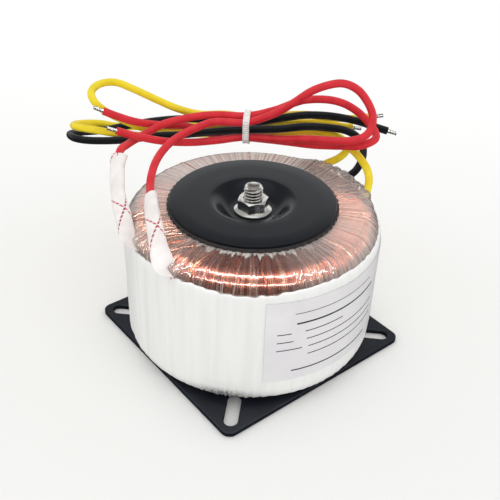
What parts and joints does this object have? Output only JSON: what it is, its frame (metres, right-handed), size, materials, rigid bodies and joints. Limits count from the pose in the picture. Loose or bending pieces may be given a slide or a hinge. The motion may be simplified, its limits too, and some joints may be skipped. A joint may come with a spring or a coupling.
{
  "type": "toroidal transformer",
  "caption": "Toroidal transformer on a square slotted plate: copper winding under clear film, white side wrap, dished washer held by a bolt and flange nut, and insulated leads tied in a bundle.",
  "frame": {"origin": "on the central bolt's axis, in the plane of the mounting plate's underside", "axes": "+Z along the bolt, from the plate to the nut; the plate's corners and slots lie on X and Y; the leads lie on the +Y side"},
  "size_m": [0.1808, 0.1518, 0.1196],
  "materials": {
    "plate_black": "satin powder coat",
    "washer_black": "gloss",
    "rubber_black": "matte",
    "zinc": "bright zinc",
    "core_steel": "rolled strip",
    "insulation": "matte",
    "copper": "enamelled copper",
    "clear_film": "clear gloss",
    "white_wrap": "gloss",
    "label_paper": "satin",
    "sleeve_woven": "woven",
    "lead_red": "satin",
    "lead_yellow": "satin",
    "lead_black": "satin",
    "tinned": "tinned",
    "nylon": "satin"
  },
  "bodies": {
    "root": {"mounting_plate": "plate_black", "lower_pad": "rubber_black", "bolt": "zinc", "core": "core_steel", "core_wrap": "insulation", "primary_winding": "copper", "interlayer_insulation": "insulation", "secondary_winding": "copper", "film_wrap": "clear_film", "side_band": "white_wrap", "label": "label_paper", "upper_pad": "rubber_black", "dish_washer": "washer_black", "flange_nut": "zinc", "sleeve_a": "sleeve_woven", "sleeve_b": "sleeve_woven", "lead_red_a": "lead_red", "lead_red_b": "lead_red", "lead_yellow_a": "lead_yellow", "lead_yellow_b": "lead_yellow", "lead_black": "lead_black", "tip_red_a": "tinned", "tip_red_b": "tinned", "tip_yellow_a": "tinned", "tip_yellow_b": "tinned", "tip_black": "tinned", "cable_tie": "nylon"}
  },
  "joints": []
}
